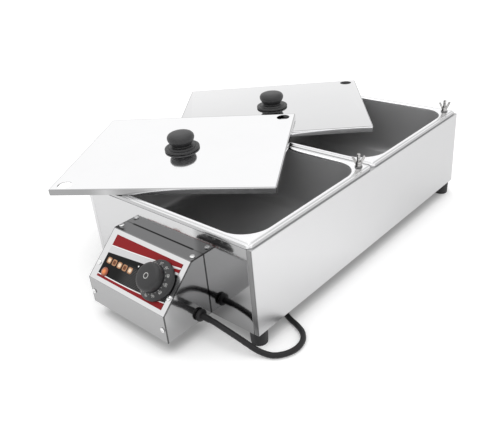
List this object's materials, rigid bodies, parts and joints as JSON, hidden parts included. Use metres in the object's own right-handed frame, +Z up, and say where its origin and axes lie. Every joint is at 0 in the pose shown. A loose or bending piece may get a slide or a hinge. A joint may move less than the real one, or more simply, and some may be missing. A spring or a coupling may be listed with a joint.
{
  "type": "chocolate melter",
  "caption": "Free-standing chocolate melter: sheet-steel case on rubber feet, clamped pans, lift-off lids with knobs, sloping control box with thermostat dial, lamp and mains lead",
  "frame": {"origin": "centre of the underside of the case's base plate; the feet reach 22 mm below it", "axes": "+X to the user's right, +Y from the control box to the back, +Z up"},
  "size_m": [0.5511, 0.8099, 0.1988],
  "materials": {
    "amber_lens": "clear gloss",
    "black_plastic": "satin",
    "black_rubber": "matt",
    "brass": "bare",
    "bright_steel": "polished",
    "copper": "bare copper",
    "element_steel": "dark, heat tinted",
    "galvanised_steel": "galvanised, dull",
    "pan_steel": "satin, grey",
    "printed_label": "printed, glossy",
    "red_sleeve": "matt silicone sleeve",
    "satin_steel": "satin",
    "screw_steel": "bright",
    "white_plastic": "matt"
  },
  "bodies": {
    "casing": {"base_plate": "galvanised_steel", "cable_gland": "black_rubber", "capillary": "copper", "coil_tie": "black_plastic", "control_body": "bright_steel", "control_cover": "satin_steel", "cord_coil": "black_rubber", "cover_screw_front_left": "screw_steel", "cover_screw_front_right": "screw_steel", "cover_screw_slope_left": "screw_steel", "cover_screw_slope_right": "screw_steel", "cover_screw_top_left": "screw_steel", "cover_screw_top_right": "screw_steel", "cross_bar": "galvanised_steel", "foot_front_left": "black_rubber", "foot_front_right": "black_rubber", "foot_rear_left": "black_rubber", "foot_rear_right": "black_rubber", "foot_screw_front_left": "screw_steel", "foot_screw_front_right": "screw_steel", "foot_screw_rear_left": "screw_steel", "foot_screw_rear_right": "screw_steel", "front_panel": "bright_steel", "heater_lead_front": "red_sleeve", "heater_lead_rear": "red_sleeve", "heater_tray_front": "galvanised_steel", "heater_tray_rear": "galvanised_steel", "heating_element_front": "element_steel", "heating_element_rear": "element_steel", "label_plate": "printed_label", "lamp_body": "white_plastic", "lamp_lens": "amber_lens", "mains_cord": "black_rubber", "pan_front": "pan_steel", "pan_rear": "pan_steel", "pan_stud_front": "screw_steel", "pan_stud_rear": "screw_steel", "plug_body": "black_rubber", "plug_pin_left": "brass", "plug_pin_right": "brass", "rear_panel": "satin_steel", "side_panel_left": "satin_steel", "side_panel_right": "satin_steel", "terminal_block": "white_plastic", "thermostat": "white_plastic", "washer_front": "screw_steel", "washer_rear": "screw_steel"},
    "lid_rear_assembly": {"lid_rear": "bright_steel", "knob_base_rear": "black_plastic", "knob_rear": "black_plastic", "knob_screw_rear": "screw_steel"},
    "lid_front_assembly": {"lid_front": "bright_steel", "knob_base_front": "black_plastic", "knob_front": "black_plastic", "knob_screw_front": "screw_steel"},
    "thermostat_dial": {"dial_skirt": "black_plastic", "dial_knob": "black_plastic", "dial_shaft": "screw_steel"},
    "front_wing_nut": {"wing_nut_front": "bright_steel"},
    "rear_wing_nut": {"wing_nut_rear": "bright_steel"}
  },
  "joints": [
    {"name": "lid_rear_lift", "type": "slide", "parent": "casing", "child": "lid_rear_assembly", "axis": [0, 0, 1], "range_m": [0, 0.15]},
    {"name": "lid_front_lift", "type": "slide", "parent": "lid_rear_assembly", "child": "lid_front_assembly", "axis": [0, 0, 1], "range_m": [0, 0.15]},
    {"name": "thermostat_turn", "type": "hinge", "parent": "casing", "child": "thermostat_dial", "pos_m": [0.0447, -0.32697, 0.06778], "axis": [0, 0.6766, -0.7363], "range_deg": [0, 270]},
    {"name": "wing_nut_front_turn", "type": "hinge", "parent": "casing", "child": "front_wing_nut", "pos_m": [0.1495, -0.016, 0.1345], "axis": [0, 0, 1], "continuous": true},
    {"name": "wing_nut_rear_turn", "type": "hinge", "parent": "casing", "child": "rear_wing_nut", "pos_m": [0.1495, 0.26, 0.1345], "axis": [0, 0, 1], "continuous": true}
  ]
}
